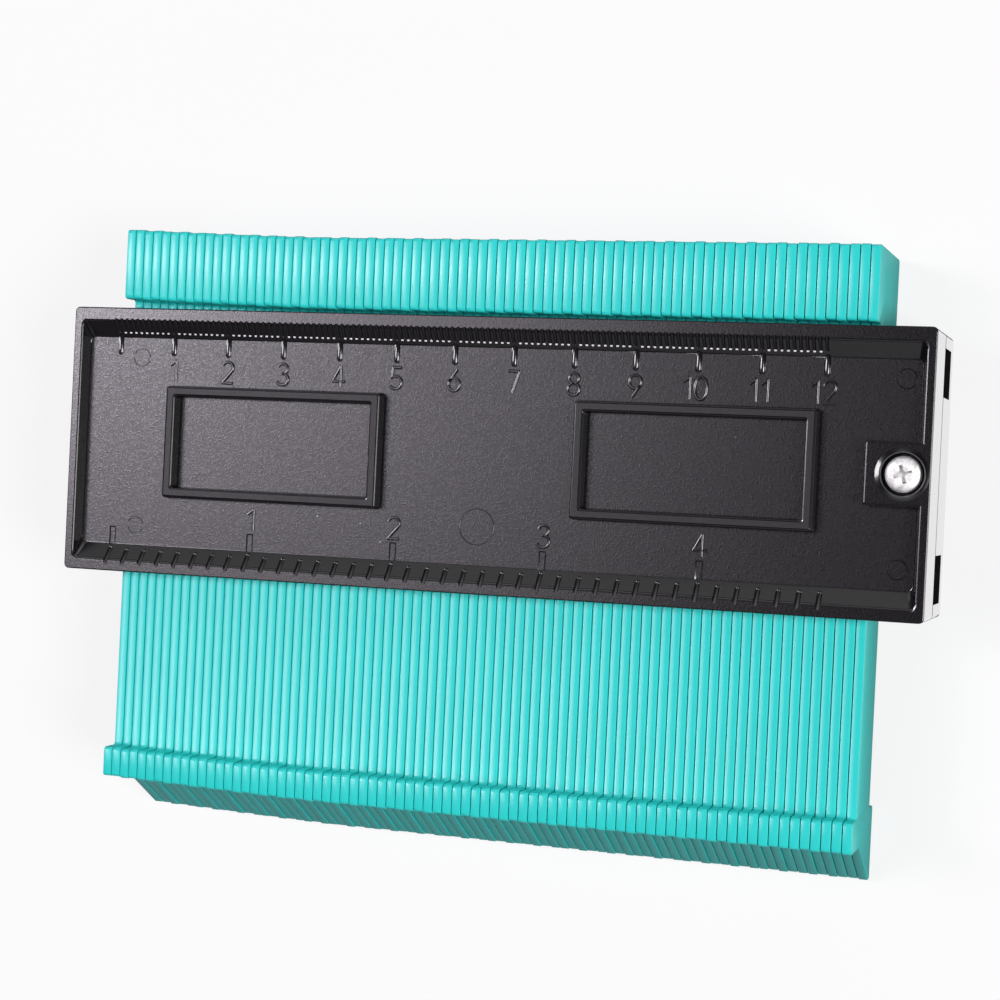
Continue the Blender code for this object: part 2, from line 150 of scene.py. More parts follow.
# Strokes of the digits, in shares of their width and height: a line has two ends,
# and an arc a centre, two radii and two angles
DIGITS = {
    "0": ((0.5, 0.5, 0.5, 0.5, 0, 360),),
    "1": ((0.7, 1, 0.7, 0), (0.15, 0.76, 0.7, 1)),
    "2": ((0.5, 0.73, 0.5, 0.27, 165, -35), (0.91, 0.57, 0, 0), (0, 0, 1, 0)),
    "3": ((0.46, 0.76, 0.44, 0.24, 160, -90), (0.46, 0.27, 0.54, 0.27, 100, -160)),
    "4": ((0.72, 1, 0, 0.27), (0, 0.27, 1.1, 0.27), (0.72, 1, 0.72, 0)),
    "5": ((0.2, 1, 0.95, 1), (0.2, 1, 0.08, 0.5), (0.46, 0.3, 0.54, 0.3, 140, -150)),
    "6": ((0.5, 0.3, 0.5, 0.3, 0, 360), (0.75, 1, 0.05, 0.42)),
    "7": ((0, 1, 1, 1), (1, 1, 0.4, 0)),
    "8": ((0.5, 0.27, 0.5, 0.27, 0, 360), (0.5, 0.77, 0.42, 0.23, 0, 360)),
    "9": ((0.5, 0.7, 0.5, 0.3, 0, 360), (0.95, 0.58, 0.25, 0)),
}

# Ejector pin marks on the tray floor: x, height above the bottom edge, radius
PIN_MARKS = ((-60.3, 36.2, 1.5), (-60.2, 7.9, 1.4), (0.6, 10.75, 2.9), (67.7, 36.6, 1.5),
             (67.6, 7.8, 1.5))
PIN_RING = 0.1 * MM

# Finishes of the covers' faces, as places in their list of materials; one place holds the painted
# highlight at the lower end of each millimetre groove
SMOOTH, GRAINED, MATT, WALL, PAINTED_HIGHLIGHT, RIM, EDGE = range(7)
FLAT_AREA = 1.2 * MM * MM  # larger faces are shaded flat, and smaller ones are roundings
# Place of the painted highlight in each millimetre groove: its height above the floor's top edge, and its
# width
HIGHLIGHT_LOW = 0.55 * MM
HIGHLIGHT_WIDTH = 0.32 * MM

# Leaves
LEAF_COUNT = 79
LEAF_PITCH = 1.6 * MM
LEAF_THICKNESS = 1.45 * MM
HEAD_DEPTH = BODY_DEPTH - 0.6 * MM
WEB_DEPTH = 14.0 * MM
HEAD_UNDERSIDE = BODY_HEIGHT + 0.65 * MM
HEAD_TOP = HEAD_UNDERSIDE + 11.65 * MM
FOOT_TOP = -30.6 * MM
FOOT_LOW = -35.5 * MM
TIP_END = -42.4 * MM
TIP_FLAT = 1.5 * MM
TOE_LENGTH = 8.2 * MM
LEAF_ROUNDING = 0.6 * MM
WEB_FILLET = 0.5 * MM
LEAF_EDGE = 0.08 * MM
LIFT = 0.9 * MM
LIFT_LEAVES = 22
LIFT_RIPPLE = 0.08 * MM

# Camera at the photograph's viewing angle
CAMERA_PLACE = Vector((0.10808, 0.01083, 0.34156))
CAMERA_RIGHT = Vector((0.95048, 0.04831, -0.30701))
CAMERA_UP = Vector((-0.04883, 0.99879, 0.00601))
CAMERA_LENS = 76.2


# Mesh helpers

def piece_of(mesh, name, body, surfaces, nodes, sharp=30, flat_area=None):
    """Makes a finished piece of a mesh whose place is already in its vertices.

    Edges sharper than sharp degrees stay hard, and faces larger than flat_area are shaded flat.
    """
    mesh.materials.clear()
    for surface in surfaces:
        mesh.materials.append(surface)
    mesh.shade_smooth()
    mesh.set_sharp_from_angle(angle=math.radians(sharp))
    if flat_area:
        for face in mesh.polygons:
            face.use_smooth = face.area < flat_area
    item = bpy.data.objects.new(name, mesh)
    bpy.context.scene.collection.objects.link(item)
    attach(item, body)
    if nodes:
        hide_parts(*nodes)
    return item


def bevel(bm, edges, width, segments):
    return bmesh.ops.bevel(bm, geom=list(edges), offset=width, segments=segments,
                           profile=0.5, affect="EDGES", material=-1)


def add_box(bm, low, high):
    size = [b - a for a, b in zip(low, high)]
    centre = [(a + b) / 2 for a, b in zip(low, high)]
    place = Matrix.Translation(centre) @ Matrix.Diagonal((*size, 1.0))
    return bmesh.ops.create_cube(bm, size=1.0, matrix=place)["verts"]


def add_tapered_box(bm, low, high, taper):
    """A box whose lower face is drawn in by taper = (left, right, bottom, top)."""
    left, right, bottom, top = taper
    verts = add_box(bm, low, high)
    for vert in verts:
        if vert.co.z < (low[2] + high[2]) / 2:
            vert.co.x += left if vert.co.x < (low[0] + high[0]) / 2 else -right
            vert.co.y += bottom if vert.co.y < (low[1] + high[1]) / 2 else -top
    return verts


def upright_edges(bm):
    """Edges that run from the lower to the upper side of a box."""
    return [edge for edge in bm.edges
            if abs(edge.verts[0].co.z - edge.verts[1].co.z) > 0.5 * edge.calc_length()]


def level_edges(bm, z, reach=1e-6):
    return [edge for edge in bm.edges if all(abs(vert.co.z - z) < reach for vert in edge.verts)]


def flare(bm, z, width, height, over, steps=3):
    """Draws a cutter's top face outwards on a quarter round, then straight up by over.

    width is how far the two sides go out, and height how far the two long edges do.
    """
    top = max(bm.faces, key=lambda face: face.calc_center_median().z)
    centre = top.calc_center_median()
    half = [max(abs(vert.co[axis] - centre[axis]) for vert in top.verts) for axis in (0, 1)]
    done = (0.0, 0.0, 0.0)
    for step in range(1, steps + 1):
        turn = math.pi / 2 * step / steps
        out = (width * (1 - math.cos(turn)), height * (1 - math.cos(turn)), width * math.sin(turn))
        extruded = bmesh.ops.extrude_face_region(bm, geom=[top])["geom"]
        bm.faces.remove(top)
        top = next(item for item in extruded if isinstance(item, bmesh.types.BMFace))
        grow = [(half[axis] + out[axis]) / (half[axis] + done[axis]) for axis in (0, 1)]
        bmesh.ops.scale(bm, vec=(*grow, 1.0), space=Matrix.Translation(-centre), verts=top.verts)
        bmesh.ops.translate(bm, vec=(0, 0, out[2] - done[2]), verts=top.verts)
        done = out
    extruded = bmesh.ops.extrude_face_region(bm, geom=[top])["geom"]
    bm.faces.remove(top)
    top = next(item for item in extruded if isinstance(item, bmesh.types.BMFace))
    bmesh.ops.translate(bm, vec=(0, 0, over), verts=top.verts)


def add_rod(bm, start, end, radius, around=12, rings=7):
    """A rod with ball ends, made by drawing a sphere out along its axis."""
    start = Vector(start)
    span = Vector(end) - start
    verts = bmesh.ops.create_uvsphere(bm, u_segments=around, v_segments=rings, radius=radius)["verts"]
    for vert in verts:
        if vert.co.z > 0:
            vert.co.z += span.length
    place = Matrix.Translation(start) @ span.to_track_quat("Z", "Y").to_matrix().to_4x4()
    bmesh.ops.transform(bm, matrix=place, verts=verts)


def add_turned(bm, profile, x, y, steps=48):
    """A shape turned round an upright axis at x, y.

    profile is a row of (radius, z) that starts and ends on the axis.
    """
    verts = [bm.verts.new((radius, 0, z)) for radius, z in profile]
    edges = [bm.edges.new(pair) for pair in zip(verts, verts[1:])]
    before = set(bm.verts) - set(verts)
    bmesh.ops.spin(bm, geom=verts + edges, cent=(0, 0, 0), axis=(0, 0, 1), angle=math.tau,
                   steps=steps, use_merge=True)
    made = [vert for vert in bm.verts if vert not in before]
    bmesh.ops.remove_doubles(bm, verts=made, dist=1e-7)
    made = [vert for vert in bm.verts if vert not in before]
    bmesh.ops.translate(bm, vec=(x, y, 0), verts=made)


def shape(bm, name):
    """A working object, for use as the target or tool of a Boolean."""
    bmesh.ops.recalc_face_normals(bm, faces=bm.faces)
    mesh = bpy.data.meshes.new(name)
    bm.to_mesh(mesh)
    bm.free()
    item = bpy.data.objects.new(name, mesh)
    bpy.context.scene.collection.objects.link(item)
    return item


def cut(target, tools, operation="DIFFERENCE"):
    """Cuts the working objects out of the target, one by one, and removes them."""
    for tool in tools:
        modifier = target.modifiers.new(tool.name, "BOOLEAN")
        modifier.operation = operation
        modifier.solver = "EXACT"
        modifier.object = tool
    graph = bpy.context.evaluated_depsgraph_get()
    graph.update()
    mesh = bpy.data.meshes.new_from_object(target.evaluated_get(graph), depsgraph=graph)
    target.modifiers.clear()
    target.data = mesh
    for tool in tools:
        bpy.data.objects.remove(tool, do_unlink=True)
    return target


# Surfaces

def new_group(name, inputs, outputs):
    group = bpy.data.node_groups.new(name, "ShaderNodeTree")
    for label, kind, value in inputs:
        socket = group.interface.new_socket(label, in_out="INPUT", socket_type=kind)
        socket.default_value = value
    for label, kind in outputs:
        group.interface.new_socket(label, in_out="OUTPUT", socket_type=kind)
    start = group.nodes.new("NodeGroupInput")
    end = group.nodes.new("NodeGroupOutput")
    return group, start, end


def add_math(tree, operation, first, second, clamp=False):
    node = tree.nodes.new("ShaderNodeMath")
    node.operation = operation
    node.use_clamp = clamp
    for socket, value in zip(node.inputs, (first, second)):
        if isinstance(value, (int, float)):
            socket.default_value = value
        else:
            tree.links.new(value, socket)
    return node.outputs[0]


def add_noise(tree, position, scale, detail=2.0, roughness=0.5):
    node = tree.nodes.new("ShaderNodeTexNoise")
    node.inputs["Detail"].default_value = detail
    node.inputs["Roughness"].default_value = roughness
    tree.links.new(position, node.inputs["Vector"])
    if isinstance(scale, (int, float)):
        node.inputs["Scale"].default_value = scale
    else:
        tree.links.new(scale, node.inputs["Scale"])
    return node.outputs["Fac"]


def grain_group():
    """Fine grain of an eroded mould face: a height, and a mask of its high points."""
    group, start, end = new_group("Mould grain", [("Scale", "NodeSocketFloat", 4000.0)],
                                  [("Height", "NodeSocketFloat"), ("Peaks", "NodeSocketFloat")])
    place = group.nodes.new("ShaderNodeTexCoord").outputs["Object"]
    fine = add_noise(group, place, start.outputs["Scale"], 1.0, 0.5)
    coarse_scale = add_math(group, "MULTIPLY", start.outputs["Scale"], 0.4)
    coarse = add_noise(group, place, coarse_scale, 1.0, 0.5)
    height = add_math(group, "ADD", add_math(group, "MULTIPLY", fine, 0.7),
                      add_math(group, "MULTIPLY", coarse, 0.3))
    group.links.new(height, end.inputs["Height"])
    peaks = add_math(group, "MULTIPLY", add_math(group, "SUBTRACT", height, 0.38), 4.0, clamp=True)
    group.links.new(peaks, end.inputs["Peaks"])
    return group


def drift_group():
    """Slow change of tone over a moulding, from how the melt flowed and cooled."""
    group, start, end = new_group(
        "Tone drift", [("Colour", "NodeSocketColor", (1, 1, 1, 1)), ("Scale", "NodeSocketFloat", 60.0),
                       ("Amount", "NodeSocketFloat", 0.1)], [("Colour", "NodeSocketColor")])
    place = group.nodes.new("ShaderNodeTexCoord").outputs["Object"]
    noise = add_noise(group, place, start.outputs["Scale"], 2.0, 0.5)
    swing = add_math(group, "MULTIPLY", add_math(group, "SUBTRACT", noise, 0.5), start.outputs["Amount"])
    tone = group.nodes.new("ShaderNodeHueSaturation")
    group.links.new(start.outputs["Colour"], tone.inputs["Color"])
    group.links.new(add_math(group, "ADD", swing, 1.0), tone.inputs["Value"])
    group.links.new(tone.outputs["Color"], end.inputs["Colour"])
    return group


def dust_group():
    """Sparse pale specks."""
    group, start, end = new_group(
        "Dust specks", [("Scale", "NodeSocketFloat", 250.0), ("Size", "NodeSocketFloat", 0.04)],
        [("Mask", "NodeSocketFloat")])
    place = group.nodes.new("ShaderNodeTexCoord").outputs["Object"]
    cells = group.nodes.new("ShaderNodeTexVoronoi")
    group.links.new(place, cells.inputs["Vector"])
    group.links.new(start.outputs["Scale"], cells.inputs["Scale"])
    near = add_math(group, "LESS_THAN", cells.outputs["Distance"], start.outputs["Size"])
    split = group.nodes.new("ShaderNodeSeparateColor")
    group.links.new(cells.outputs["Color"], split.inputs["Color"])
    chosen = add_math(group, "GREATER_THAN", split.outputs["Red"], 0.8)
    group.links.new(add_math(group, "MULTIPLY", near, chosen), end.inputs["Mask"])
    return group


GRAIN = grain_group()
DRIFT = drift_group()
DUST = dust_group()


def new_surface(name):
    made = bpy.data.materials.new(name)
    made.use_nodes = True
    tree = made.node_tree
    return made, tree, tree.nodes["Principled BSDF"]


def place_group(tree, group, **values):
    node = tree.nodes.new("ShaderNodeGroup")
    node.node_tree = group
    for label, value in values.items():
        node.inputs[label].default_value = value
    return node


def add_bump(tree, height, strength, distance, shader):
    bump = tree.nodes.new("ShaderNodeBump")
    bump.inputs["Strength"].default_value = strength
    bump.inputs["Distance"].default_value = distance
    tree.links.new(height, bump.inputs["Height"])
    tree.links.new(bump.outputs["Normal"], shader.inputs["Normal"])


def add_range(tree, value, low, high):
    node = tree.nodes.new("ShaderNodeMapRange")
    node.inputs["To Min"].default_value = low
    node.inputs["To Max"].default_value = high
    tree.links.new(value, node.inputs["Value"])
    return node.outputs["Result"]


def add_mix(tree, factor, first, second):
    """Mixes two colours by a mask; each is a socket or a plain colour."""
    node = tree.nodes.new("ShaderNodeMix")
    node.data_type = "RGBA"
    tree.links.new(factor, node.inputs["Factor"])
    for label, value in (("A", first), ("B", second)):
        if isinstance(value, tuple):
            node.inputs[label].default_value = value
        else:
            tree.links.new(value, node.inputs[label])
    return node.outputs["Result"]


def black_plastic_surface(name, low, high, rough, bump, coat=0.0):
    """Black plastic; low and high are the grain's tones in its hollows and on its peaks: painted shade in
    the hollows and painted glints on the peaks, over the real bumped grain.
    """
    made, tree, shader = new_surface(name)
    grain = place_group(tree, GRAIN, Scale=4200.0)
    painted_hollow_shade = place_group(tree, DRIFT, Colour=(*low, 1), Scale=45.0, Amount=0.5)
    # painted shade in the grain's hollows and painted glints on its peaks
    tone = add_mix(tree, grain.outputs["Peaks"], painted_hollow_shade.outputs["Colour"], (*high, 1))
    dust = place_group(tree, DUST, Scale=260.0, Size=0.03)
    tone = add_mix(tree, dust.outputs["Mask"], tone, (0.5, 0.5, 0.52, 1))
    tree.links.new(tone, shader.inputs["Base Color"])
    tree.links.new(add_range(tree, grain.outputs["Peaks"], *rough), shader.inputs["Roughness"])
    add_bump(tree, grain.outputs["Height"], bump, 0.05 * MM, shader)
    shader.inputs["Coat Weight"].default_value = coat
    shader.inputs["Coat Roughness"].default_value = 0.12
    return made


def pale_end_surface():
    """A painted highlight: a pale colour on the lower ends of the millimetre grooves, where their round
    ends catch the light.
    """
    made, tree, shader = new_surface("painted_highlight_groove_end")
    drift = place_group(tree, DRIFT, Colour=(0.7, 0.68, 0.72, 1), Scale=300.0, Amount=0.5)
    tree.links.new(drift.outputs["Colour"], shader.inputs["Base Color"])
    shader.inputs["Roughness"].default_value = 0.4
    return made


def end_wall_surface():
    """The smooth outer walls, which mirror the table at a grazing angle."""
    made, tree, shader = new_surface("black_plastic_wall")
    drift = place_group(tree, DRIFT, Colour=(0.012, 0.011, 0.013, 1), Scale=45.0, Amount=0.5)
    tree.links.new(drift.outputs["Colour"], shader.inputs["Base Color"])
    shader.inputs["Roughness"].default_value = 0.06
    shader.inputs["Coat Weight"].default_value = 1.0
    shader.inputs["Coat Roughness"].default_value = 0.04
    return made


def teal_plastic_surface():
    made, tree, shader = new_surface("teal_moulded_plastic")
    drift = place_group(tree, DRIFT, Colour=(0.026, 0.62, 0.58, 1), Scale=90.0, Amount=0.1)
    tree.links.new(drift.outputs["Colour"], shader.inputs["Base Color"])
    grain = place_group(tree, GRAIN, Scale=1500.0)
    tree.links.new(add_range(tree, grain.outputs["Peaks"], 0.31, 0.28), shader.inputs["Roughness"])
    add_bump(tree, grain.outputs["Height"], 0.04, 0.03 * MM, shader)
    return made


def zinc_surface():
    made, tree, shader = new_surface("zinc_plated_steel_head")
    shader.inputs["Metallic"].default_value = 1.0
    drift = place_group(tree, DRIFT, Colour=(0.93, 0.93, 0.91, 1), Scale=1100.0, Amount=1.4)
    tree.links.new(drift.outputs["Colour"], shader.inputs["Base Color"])
    grain = place_group(tree, GRAIN, Scale=1600.0)
    tree.links.new(add_range(tree, grain.outputs["Height"], 0.5, 0.8), shader.inputs["Roughness"])
    add_bump(tree, grain.outputs["Height"], 0.7, 0.05 * MM, shader)
    return made


def rubber_surface():
    made, tree, shader = new_surface("grey_rubber_sheet")
    drift = place_group(tree, DRIFT, Colour=(0.06, 0.06, 0.065, 1), Scale=200.0, Amount=0.3)
    tree.links.new(drift.outputs["Colour"], shader.inputs["Base Color"])
    grain = place_group(tree, GRAIN, Scale=2500.0)
    tree.links.new(add_range(tree, grain.outputs["Height"], 0.75, 0.95), shader.inputs["Roughness"])
    add_bump(tree, grain.outputs["Height"], 0.5, 0.06 * MM, shader)
    return made


# The two tones of each black are painted shade in the grain's hollows and painted glints on its peaks.
BLACK_SMOOTH = black_plastic_surface("black_plastic_polished", (0.006, 0.005, 0.0065),
                                     (0.009, 0.008, 0.0095), (0.26, 0.22), 0.05)
BLACK_GRAIN = black_plastic_surface("black_plastic_eroded", (0.001, 0.001, 0.0012),
                                    (0.01, 0.0085, 0.0108), (0.38, 0.24), 0.75)
BLACK_RIM = black_plastic_surface("black_plastic_rim", (0.001, 0.001, 0.0012),
                                  (0.008, 0.0066, 0.0087), (0.3, 0.22), 0.4)
BLACK_MATT = black_plastic_surface("black_plastic_matt", (0.008, 0.007, 0.0085),
                                   (0.014, 0.012, 0.0145), (0.56, 0.5), 0.4)
BLACK_EDGE = black_plastic_surface("black_plastic_edge", (0.006, 0.005, 0.0065),
                                   (0.009, 0.008, 0.0095), (0.26, 0.22), 0.05, 1.0)
BLACK_WALL = end_wall_surface()
# painted highlight for the lower ends of the millimetre grooves
GROOVE_END_HIGHLIGHT = pale_end_surface()
TEAL = teal_plastic_surface()
ZINC = zinc_surface()
RUBBER = rubber_surface()


# Covers

def cover_blank():
    bm = bmesh.new()
    low_z = MID_PLANE + SEAM_GAP / 2
    add_box(bm, (-BODY_LENGTH / 2, BODY_BOTTOM, low_z),
            (BODY_LENGTH / 2, BODY_BOTTOM + BODY_HEIGHT, BODY_DEPTH))
    bevel(bm, upright_edges(bm), CORNER_RADIUS, 5)
    bevel(bm, level_edges(bm, BODY_DEPTH) + level_edges(bm, low_z), RIM_ROUNDING, 2)
    return shape(bm, "cover_blank")


def frame_rings():
    outer = bmesh.new()
    inner = bmesh.new()
    low_y = BODY_BOTTOM + (BODY_HEIGHT - FRAME_HEIGHT) / 2
    high_y = low_y + FRAME_HEIGHT
    top = FLOOR_Z + FRAME_RISE
    for side in (-1, 1):
        one = bmesh.new()
        low_x = side * FRAME_X - FRAME_LENGTH / 2
        high_x = low_x + FRAME_LENGTH
        add_tapered_box(one, (low_x + FRAME_DRAFT, low_y + FRAME_DRAFT, FLOOR_Z - FRAME_RISE),
                        (high_x - FRAME_DRAFT, high_y - FRAME_DRAFT, top), [-2 * FRAME_DRAFT] * 4)
        bevel(one, upright_edges(one), FRAME_CORNER, 3)
        bevel(one, level_edges(one, top), FRAME_ROUNDING, 3)
        add_to(outer, one)
        one = bmesh.new()
        wall = FRAME_WALL + FRAME_DRAFT
        add_tapered_box(one, (low_x + wall, low_y + wall, FLOOR_Z - 2 * FRAME_RISE),
                        (high_x - wall, high_y - wall, top - FRAME_ROUNDING),
                        [3 * FRAME_DRAFT] * 4)
        bevel(one, upright_edges(one), FRAME_CORNER, 3)
        flare(one, top, FRAME_ROUNDING, FRAME_ROUNDING, FRAME_RISE)
        add_to(inner, one)
    return cut(shape(outer, "frame_rings"), [shape(inner, "frame_insides")])


def add_to(bm, other):
    """Moves the contents of one bmesh into another."""
    mesh = bpy.data.meshes.new("carried")
    other.to_mesh(mesh)
    other.free()
    bm.from_mesh(mesh)
    bpy.data.meshes.remove(mesh)


def screw_pad():
    bm = bmesh.new()
    low_y = BODY_BOTTOM + (BODY_HEIGHT - PAD_HEIGHT) / 2
    top = BODY_DEPTH + 0.001 * MM
    add_box(bm, (BODY_LENGTH / 2 - PAD_LENGTH, low_y, FLOOR_Z - TRAY_DEPTH),
            (BODY_LENGTH / 2 + PAD_LENGTH, low_y + PAD_HEIGHT, top))
    bevel(bm, upright_edges(bm), FRAME_CORNER, 3)
    bevel(bm, level_edges(bm, top), FRAME_ROUNDING, 3)
    return shape(bm, "screw_pad")


def tray():
    bm = bmesh.new()
    share = 1 - SIDE_ROUNDING / TRAY_DEPTH
    add_tapered_box(
        bm, (-BODY_LENGTH / 2 + RIM_SIDE + (1 - share) * SLOPE_SIDE,
             BODY_BOTTOM + RIM_BOTTOM + (1 - share) * SLOPE_BOTTOM, FLOOR_Z),
        (BODY_LENGTH / 2 - RIM_SIDE - (1 - share) * SLOPE_SIDE,
         BODY_BOTTOM + BODY_HEIGHT - RIM_TOP - (1 - share) * SLOPE_TOP, BODY_DEPTH - SIDE_ROUNDING),
        (share * SLOPE_SIDE, share * SLOPE_SIDE, share * SLOPE_BOTTOM, share * SLOPE_TOP))
    bevel(bm, upright_edges(bm), TRAY_CORNER, 4)
    bevel(bm, level_edges(bm, FLOOR_Z), TRAY_FILLET, 2)
    flare(bm, BODY_DEPTH, SIDE_ROUNDING, SIDE_ROUNDING * SLOPE_TOP / TRAY_DEPTH, TRAY_DEPTH)
    return cut(shape(bm, "tray"), [frame_rings(), screw_pad()])


def channel():
    bm = bmesh.new()
    over = BODY_HEIGHT / 4
    add_box(bm, (-CHANNEL_HALF_LENGTH, BODY_BOTTOM - over, 0),
            (CHANNEL_HALF_LENGTH, BODY_BOTTOM + BODY_HEIGHT + over, CHANNEL_ROOF))
    groove = bmesh.new()
    middle = BODY_BOTTOM + BODY_HEIGHT / 2
    add_box(groove, (-GROOVE_HALF_LENGTH, middle - GROOVE_HALF_HEIGHT, MID_PLANE),
            (GROOVE_HALF_LENGTH, middle + GROOVE_HALF_HEIGHT, GROOVE_ROOF))
    return cut(shape(bm, "leaf_channel"), [shape(groove, "strip_groove")], "UNION")


def screw_holes():
    middle = BODY_BOTTOM + BODY_HEIGHT / 2
    blind = bmesh.new()
    add_turned(blind, [(0, 0), (BORE_RADIUS, 0), (BORE_RADIUS, BLIND_HOLE_TOP), (0, BLIND_HOLE_TOP)],
               -SCREW_X, middle)
    through = bmesh.new()
    profile = [(0, 0), (BORE_RADIUS, 0), (BORE_RADIUS, COUNTERBORE_SEAT),
               (COUNTERBORE_RADIUS, COUNTERBORE_SEAT)]
    for share in (0, 0.35, 0.7, 1):
        profile.append((COUNTERBORE_RADIUS + DISH_WIDTH * share,
                        BODY_DEPTH - DISH_DEPTH * (1 - share) ** 1.2 + 0.001 * MM))
    over = BODY_DEPTH + HEAD_THICKNESS
    profile += [(COUNTERBORE_RADIUS + DISH_WIDTH, over), (0, over)]
    add_turned(through, profile, SCREW_X, middle, 64)
    return [shape(blind, "blind_screw_hole"), shape(through, "stepped_screw_hole")]


def end_windows():
    bm = bmesh.new()
    for low_y in (WINDOW_EDGE, BODY_HEIGHT - WINDOW_EDGE - WINDOW_HEIGHT):
        add_box(bm, (-BODY_LENGTH / 2 - WINDOW_DEPTH, BODY_BOTTOM + low_y, 0),
                (-BODY_LENGTH / 2 + WINDOW_DEPTH, BODY_BOTTOM + low_y + WINDOW_HEIGHT,
                 MID_PLANE + WINDOW_REACH))
    return shape(bm, "end_windows")


def add_wall_groove(bm, x, side, foot, radius, rise):
    """A round groove up a sloped wall, from foot above the floor's edge out over the rim."""
    slope = SLOPE_TOP if side > 0 else SLOPE_BOTTOM
    edge = FLOOR_TOP if side > 0 else FLOOR_BOTTOM
    along = Vector((0, side * slope, TRAY_DEPTH)) / slope
    out = Vector((0, -side * TRAY_DEPTH, slope)).normalized()
    origin = Vector((x, edge, FLOOR_Z)) + out * rise
    add_rod(bm, origin + along * foot, origin + along * (slope + 3 * radius), radius)


def millimetre_grooves():
    bm = bmesh.new()
    for millimetre in range(10 * CENTIMETRES + 1):
        foot = 1.1 * MILLIMETRE_FOOT if millimetre % 10 == 0 else MILLIMETRE_FOOT
        add_wall_groove(bm, SCALE_ZERO_X + millimetre * MM, 1, foot, MILLIMETRE_RADIUS, MILLIMETRE_RISE)
    return shape(bm, "millimetre_grooves")


def eighth_grooves():
    bm = bmesh.new()
    for eighth in range(EIGHTHS + 1):
        foot = 0.65 * EIGHTH_FOOT if eighth % 8 == 0 else EIGHTH_FOOT
        add_wall_groove(bm, SCALE_ZERO_X + eighth * INCH / 8, -1, foot, EIGHTH_RADIUS, EIGHTH_RISE)
    return shape(bm, "eighth_grooves")


def centimetre_marks():
    """Round grooves in the floor."""
    bm = bmesh.new()
    for centimetre in range(CENTIMETRES + 1):
        x = SCALE_ZERO_X + centimetre * 10 * MM + OFF_GRID
        z = FLOOR_Z + CENTIMETRE_RISE
        add_rod(bm, (x, FLOOR_TOP - CENTIMETRE_MARK + CENTIMETRE_RADIUS, z),
                (x, FLOOR_TOP - CENTIMETRE_RADIUS / 3, z), CENTIMETRE_RADIUS, 18, 8)
    return shape(bm, "centimetre_marks")


def inch_marks():
    """Shallow flat grooves in the floor, with flared flanks."""
    bm = bmesh.new()
    for inch in range(EIGHTHS // 8 + 1):
        x = SCALE_ZERO_X + inch * INCH - OFF_GRID
        one = bmesh.new()
        flank = 2 * INCH_MARK_FLANK
        half = INCH_MARK_WIDTH / 2 + INCH_MARK_FLANK
        add_tapered_box(one, (x - half, FLOOR_BOTTOM + OFF_GRID, FLOOR_Z - INCH_MARK_DEPTH),
                        (x + half, FLOOR_BOTTOM + INCH_MARK + INCH_MARK_FLANK, FLOOR_Z + INCH_MARK_DEPTH),
                        (flank, flank, 0, flank))
        bevel(one, upright_edges(one), INCH_MARK_FLANK, 3)
        add_to(bm, one)
    return shape(bm, "inch_marks")


def stroke_path(stroke):
    """The points of one stroke of a digit, and whether it closes on itself."""
    if len(stroke) == 4:
        return [stroke[:2], stroke[2:]], False
    x, y, width, height, start, end = stroke
    steps = round(abs(end - start) / 15)
    turns = [math.radians(start + (end - start) * step / steps) for step in range(steps + 1)]
    points = [(x + width * math.cos(turn), y + height * math.sin(turn)) for turn in turns]
    closed = abs(end - start) == 360
    return points[:-1] if closed else points, closed


def digit_sides(digit):
    """The left and right side of a digit's strokes, without their width."""
    across = [x * NUMERAL_WIDTH for stroke in DIGITS[digit] for x, _ in stroke_path(stroke)[0]]
    return min(across), max(across)


def add_number(curve, text, middle, low_y):
    """Draws a number, centred on middle, or a little left of it with two digits."""
    tall = NUMERAL_HEIGHT - 2 * NUMERAL_STROKE
    sides = [digit_sides(digit) for digit in text]
    whole = NUMERAL_SPACE * (len(text) - 1)
    whole += sum(right - left + 2 * NUMERAL_STROKE for left, right in sides)
    x = middle - whole / 2 + (PAIR_SHIFT if len(text) > 1 else 0)
    for digit, (left, right) in zip(text, sides):
        start = x + NUMERAL_STROKE - left
        for stroke in DIGITS[digit]:
            points, closed = stroke_path(stroke)
            line = curve.splines.new("POLY")
            line.points.add(len(points) - 1)
            line.use_cyclic_u = closed
            for point, (along, up) in zip(line.points, points):
                point.co = (start + along * NUMERAL_WIDTH, low_y + NUMERAL_STROKE + up * tall, 0, 1)
        x += right - left + 2 * NUMERAL_STROKE + NUMERAL_SPACE


def numerals():
    """The raised numbers of the front cover, as rounded strokes half sunk in the tray floor."""
    curve = bpy.data.curves.new("strokes", "CURVE")
    curve.dimensions = "3D"
    curve.bevel_depth = NUMERAL_STROKE
    curve.bevel_resolution = 3
    curve.use_fill_caps = True
    for centimetre in range(1, CENTIMETRES + 1):
        add_number(curve, str(centimetre), SCALE_ZERO_X + centimetre * 10 * MM,
                   FLOOR_TOP - CENTIMETRE_MARK - NUMERAL_GAP - NUMERAL_HEIGHT)
    for inch in range(1, EIGHTHS // 8 + 1):
        add_number(curve, str(inch), SCALE_ZERO_X + inch * INCH, FLOOR_BOTTOM + INCH_MARK + NUMERAL_GAP)
    item = bpy.data.objects.new(curve.name, curve)
    bpy.context.scene.collection.objects.link(item)
    graph = bpy.context.evaluated_depsgraph_get()
    graph.update()
    mesh = bpy.data.meshes.new_from_object(item.evaluated_get(graph), depsgraph=graph)
    bpy.data.objects.remove(item, do_unlink=True)
    bm = bmesh.new()
    bm.from_mesh(mesh)
    bmesh.ops.remove_doubles(bm, verts=bm.verts, dist=1e-7)
    bmesh.ops.transform(bm, verts=bm.verts, matrix=Matrix.Translation((0, 0, FLOOR_Z))
                        @ Matrix.Diagonal((1, 1, NUMERAL_RISE / NUMERAL_STROKE, 1)))
    bmesh.ops.recalc_face_normals(bm, faces=bm.faces)
    bm.to_mesh(mesh)
    bm.free()
    return mesh


